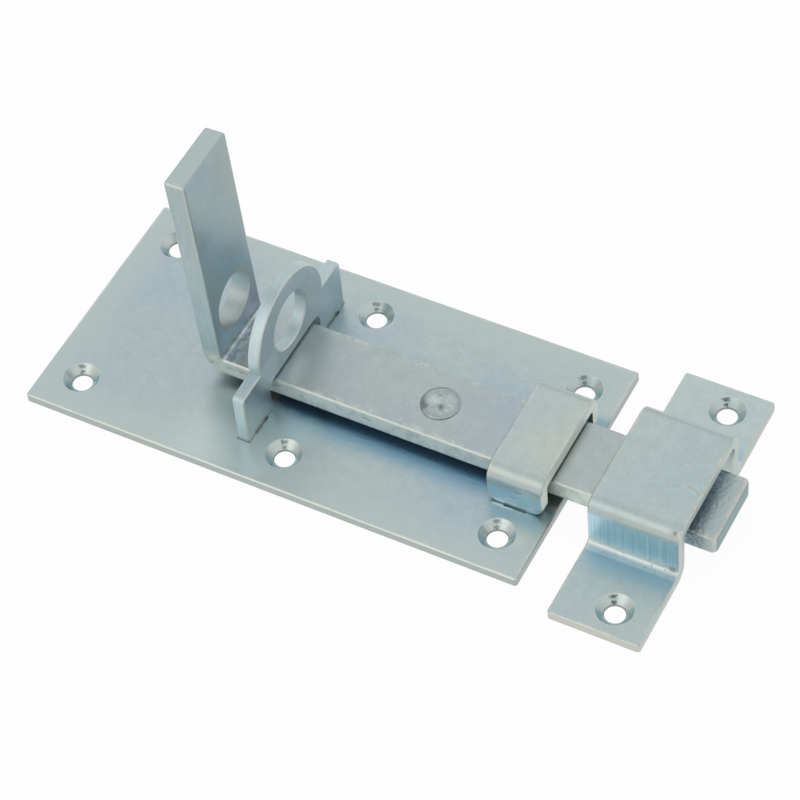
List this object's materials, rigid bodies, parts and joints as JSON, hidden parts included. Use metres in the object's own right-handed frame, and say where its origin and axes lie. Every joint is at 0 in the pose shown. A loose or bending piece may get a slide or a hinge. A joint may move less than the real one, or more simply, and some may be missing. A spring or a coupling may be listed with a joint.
{
  "type": "door bolt",
  "caption": "Flat sliding door bolt with an upturned handle, an upright padlock eye plate and a folded guide strap on a screwed base plate, with a separate hat-shaped keeper.",
  "frame": {"origin": "middle of the base plate's screw pattern, on its back face", "axes": "+X along the bar towards the keeper, +Y across the plate, +Z away from the back face"},
  "size_m": [0.1748, 0.0784, 0.0709],
  "materials": {
    "zinc_plate": "semi-gloss zinc plating",
    "zinc_bar": "semi-gloss zinc plating, edges worn bright",
    "zinc_rivet": "hammered zinc plating"
  },
  "bodies": {
    "base": {"base_plate": "zinc_plate", "eye_plate": "zinc_plate", "guide_strap": "zinc_plate", "keeper": "zinc_plate"},
    "bolt": {"bolt_bar": "zinc_bar", "stop_rivet": "zinc_rivet"}
  },
  "joints": [
    {"name": "bolt_slide", "type": "slide", "parent": "base", "child": "bolt", "axis": [1, 0, 0], "range_m": [-0.0346, 0.0116]}
  ]
}
